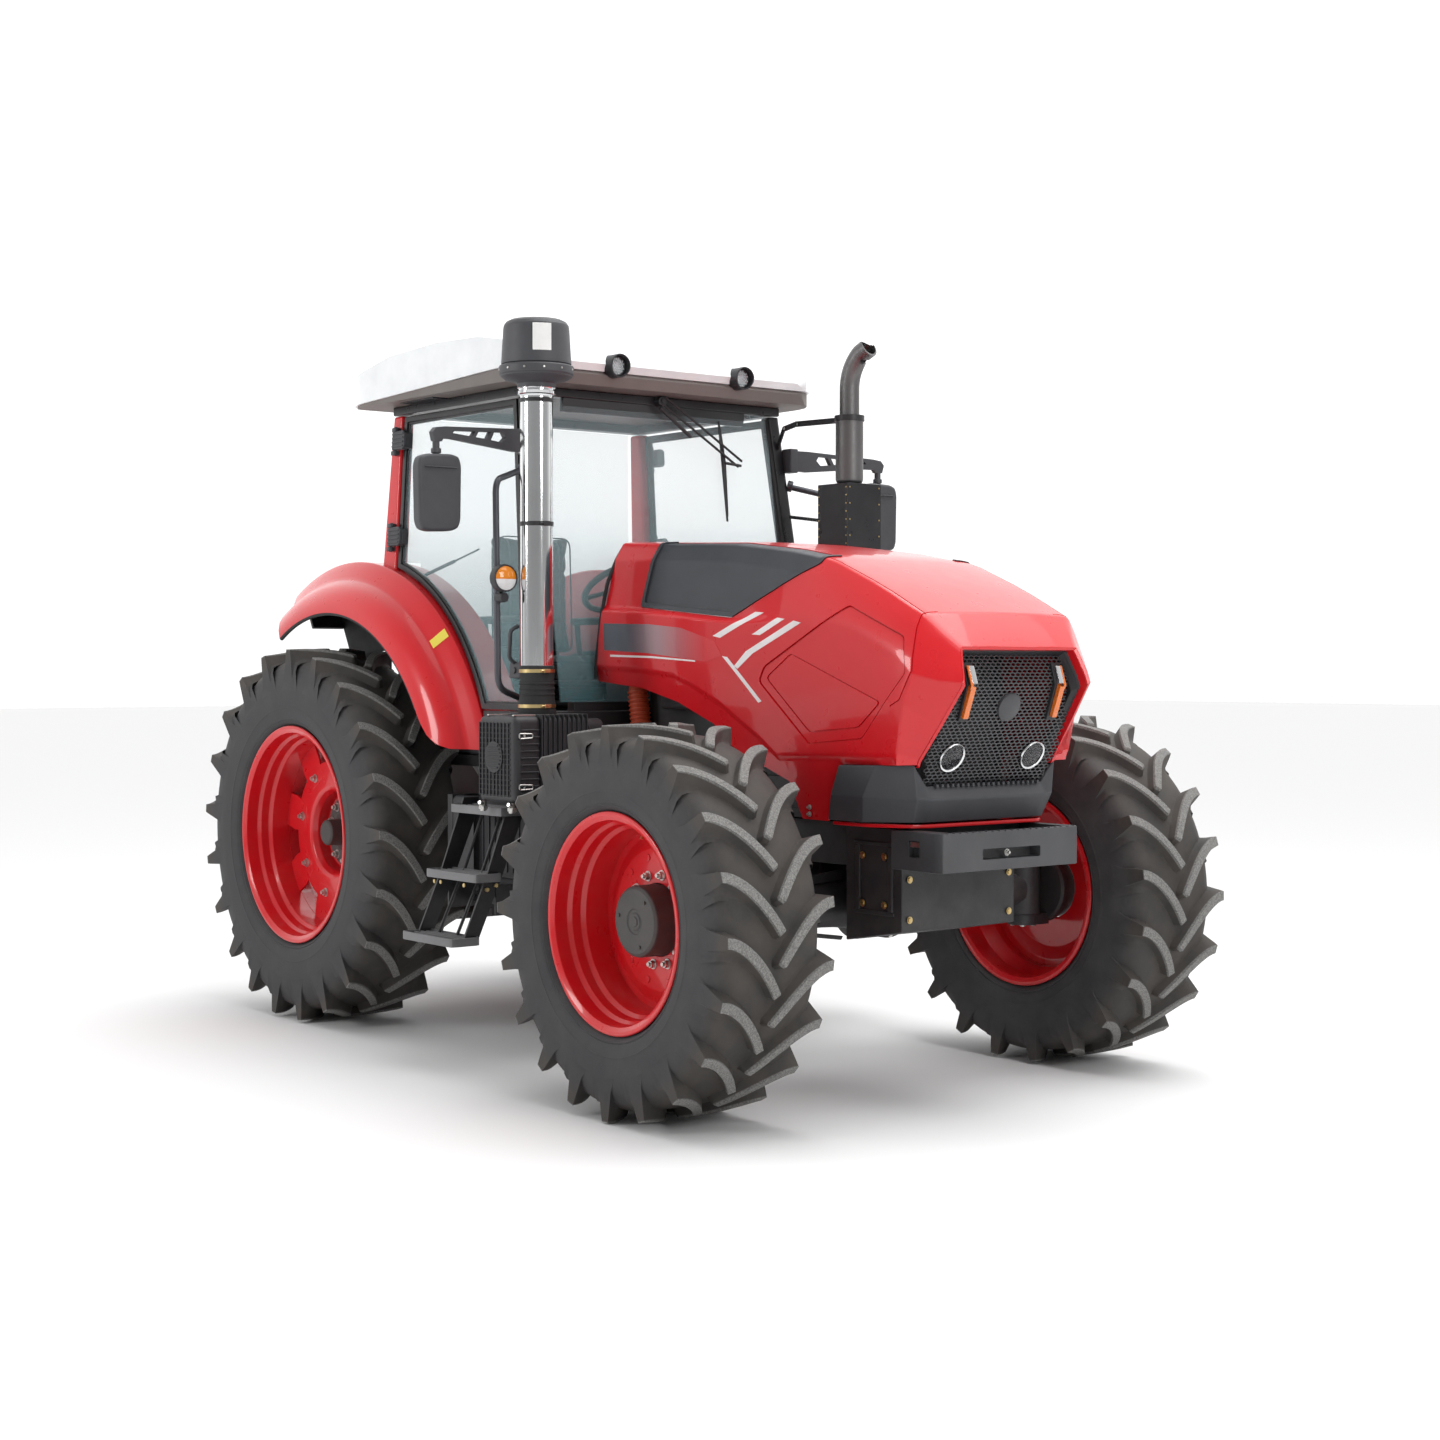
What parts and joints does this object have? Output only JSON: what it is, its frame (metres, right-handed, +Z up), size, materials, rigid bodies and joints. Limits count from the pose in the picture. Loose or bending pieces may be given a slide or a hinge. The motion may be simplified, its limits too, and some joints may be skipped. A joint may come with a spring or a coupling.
{
  "type": "four-wheel-drive farm tractor",
  "caption": "Cab tractor for field work that pulls and lifts implements, with a tilting hood, hinged doors, steered front wheels and a rear three-point linkage.",
  "frame": {"origin": "on the ground, under the middle of the overall length and width", "axes": "+X forward, +Y to the driver's left, +Z up"},
  "size_m": [4.72, 2.6104, 3.0619],
  "materials": {
    "red_paint": "glossy red paint",
    "tyre_rubber": "dusty black tyre rubber",
    "white_roof": "glossy white moulding",
    "roof_trim": "brown-grey moulded lining",
    "charcoal_plastic": "satin charcoal",
    "black_plastic": "black moulded plastic",
    "black_steel": "satin black paint",
    "chassis_paint": "dark painted casting",
    "chrome": "polished",
    "exhaust_steel": "heat-tinted steel",
    "clear_glass": "light blue-green tinted safety glass",
    "lamp_lens": "clear lens",
    "amber_lens": "amber lens",
    "red_lens": "red lens",
    "core_alloy": "dull cooler core",
    "seat_fabric": "dark woven seat cloth"
  },
  "bodies": {
    "chassis": {"air_filter_box": "black_plastic", "cab_floor": "black_steel", "cab_glass": "clear_glass", "cab_header": "black_steel", "cab_pillars": "black_steel", "cab_rear_posts": "red_paint", "dashboard": "black_plastic", "drawbar": "chassis_paint", "engine": "chassis_paint", "exhaust": "exhaust_steel", "exhaust_shield": "black_steel", "fenders": "red_paint", "front_axle": "chassis_paint", "front_frame": "chassis_paint", "fuel_tanks": "black_plastic", "grab_handles": "black_steel", "intake_stack": "chrome", "mirrors": "black_plastic", "precleaner": "black_plastic", "pto_guard": "black_plastic", "radiator": "core_alloy", "rear_axle": "chassis_paint", "rear_lamps": "red_lens", "roof": "white_roof", "roof_liner": "roof_trim", "seat_back": "seat_fabric", "seat_base": "black_steel", "seat_cushion": "seat_fabric", "steering_cylinder": "chassis_paint", "steps": "black_steel", "top_link": "chassis_paint", "transmission": "chassis_paint", "turn_lamps": "amber_lens", "weight_bracket": "charcoal_plastic", "wiper": "black_plastic", "work_lamps": "lamp_lens"},
    "hood": {"hood_shell": "red_paint", "hood_chin": "black_plastic", "grille": "black_plastic", "headlamps": "lamp_lens"},
    "door_left": {"door_frame_left": "black_steel", "door_glass_left": "clear_glass"},
    "door_right": {"door_frame_right": "black_steel", "door_glass_right": "clear_glass"},
    "knuckle_left": {"knuckle_left": "chassis_paint"},
    "knuckle_right": {"knuckle_right": "chassis_paint"},
    "front_wheel_left": {"front_tyre_left": "tyre_rubber", "front_rim_left": "red_paint"},
    "front_wheel_right": {"front_tyre_right": "tyre_rubber", "front_rim_right": "red_paint"},
    "rear_wheel_left": {"rear_tyre_left": "tyre_rubber", "rear_rim_left": "red_paint"},
    "rear_wheel_right": {"rear_tyre_right": "tyre_rubber", "rear_rim_right": "red_paint"},
    "steering_rod": {"steering_rod": "chrome"},
    "steering_wheel": {"steering_wheel": "black_plastic"},
    "lift_arms": {"lift_arms": "chassis_paint"},
    "lower_links": {"lower_links": "chassis_paint"},
    "lift_rods": {"lift_rods": "chassis_paint"}
  },
  "joints": [
    {"name": "hood_hinge", "type": "hinge", "parent": "chassis", "child": "hood", "pos_m": [0.35, 0, 2.09], "axis": [0, -1, 0], "range_deg": [0, 45]},
    {"name": "door_left_hinge", "type": "hinge", "parent": "chassis", "child": "door_left", "pos_m": [-0.93, 0.79796, 1.46132], "axis": [0, -0.0576, 0.9983], "range_deg": [0, 75]},
    {"name": "door_right_hinge", "type": "hinge", "parent": "chassis", "child": "door_right", "pos_m": [-0.93, -0.79796, 1.46132], "axis": [0, -0.0576, -0.9983], "range_deg": [0, 75]},
    {"name": "steer_left", "type": "hinge", "parent": "chassis", "child": "knuckle_left", "pos_m": [1.5, 0.86, 0.722], "axis": [0, 0, 1], "range_deg": [-32, 32]},
    {"name": "steer_right", "type": "hinge", "parent": "chassis", "child": "knuckle_right", "pos_m": [1.5, -0.86, 0.722], "axis": [0, 0, 1], "range_deg": [-32, 32]},
    {"name": "steering_rod_slide", "type": "slide", "parent": "chassis", "child": "steering_rod", "axis": [0, -1, 0], "range_m": [-0.142, 0.142]},
    {"name": "steering_wheel_turn", "type": "hinge", "parent": "chassis", "child": "steering_wheel", "pos_m": [-0.14, 0, 2.01], "axis": [-0.5299, 0, 0.848], "range_deg": [-385, 385]},
    {"name": "front_wheel_left_spin", "type": "hinge", "parent": "knuckle_left", "child": "front_wheel_left", "pos_m": [1.5, 1.045, 0.722], "axis": [0, 1, 0], "continuous": true},
    {"name": "front_wheel_right_spin", "type": "hinge", "parent": "knuckle_right", "child": "front_wheel_right", "pos_m": [1.5, -1.045, 0.722], "axis": [0, 1, 0], "continuous": true},
    {"name": "rear_wheel_left_spin", "type": "hinge", "parent": "chassis", "child": "rear_wheel_left", "pos_m": [-1.36, 0.83, 0.868], "axis": [0, 1, 0], "continuous": true},
    {"name": "rear_wheel_right_spin", "type": "hinge", "parent": "chassis", "child": "rear_wheel_right", "pos_m": [-1.36, -0.83, 0.868], "axis": [0, 1, 0], "continuous": true},
    {"name": "lift_arms_raise", "type": "hinge", "parent": "chassis", "child": "lift_arms", "pos_m": [-1.5, 0, 1.23], "axis": [0, 1, 0], "range_deg": [-20, 35]},
    {"name": "lower_links_swing", "type": "hinge", "parent": "chassis", "child": "lower_links", "pos_m": [-1.52, 0, 0.6], "axis": [0, 1, 0], "range_deg": [-20, 35]},
    {"name": "lift_rods_swing", "type": "hinge", "parent": "lift_arms", "child": "lift_rods", "pos_m": [-1.88, 0, 1.23], "axis": [0, 1, 0], "range_deg": [-35, 20]}
  ],
  "couplings": [
    {"joint": "steer_right", "follows": "steer_left", "ratio": 1},
    {"joint": "steering_rod_slide", "follows": "steer_left", "m_per_rad": 0.2514},
    {"joint": "steering_wheel_turn", "follows": "steer_left", "ratio": 12},
    {"joint": "lower_links_swing", "follows": "lift_arms_raise", "ratio": 1},
    {"joint": "lift_rods_swing", "follows": "lift_arms_raise", "ratio": -1}
  ]
}
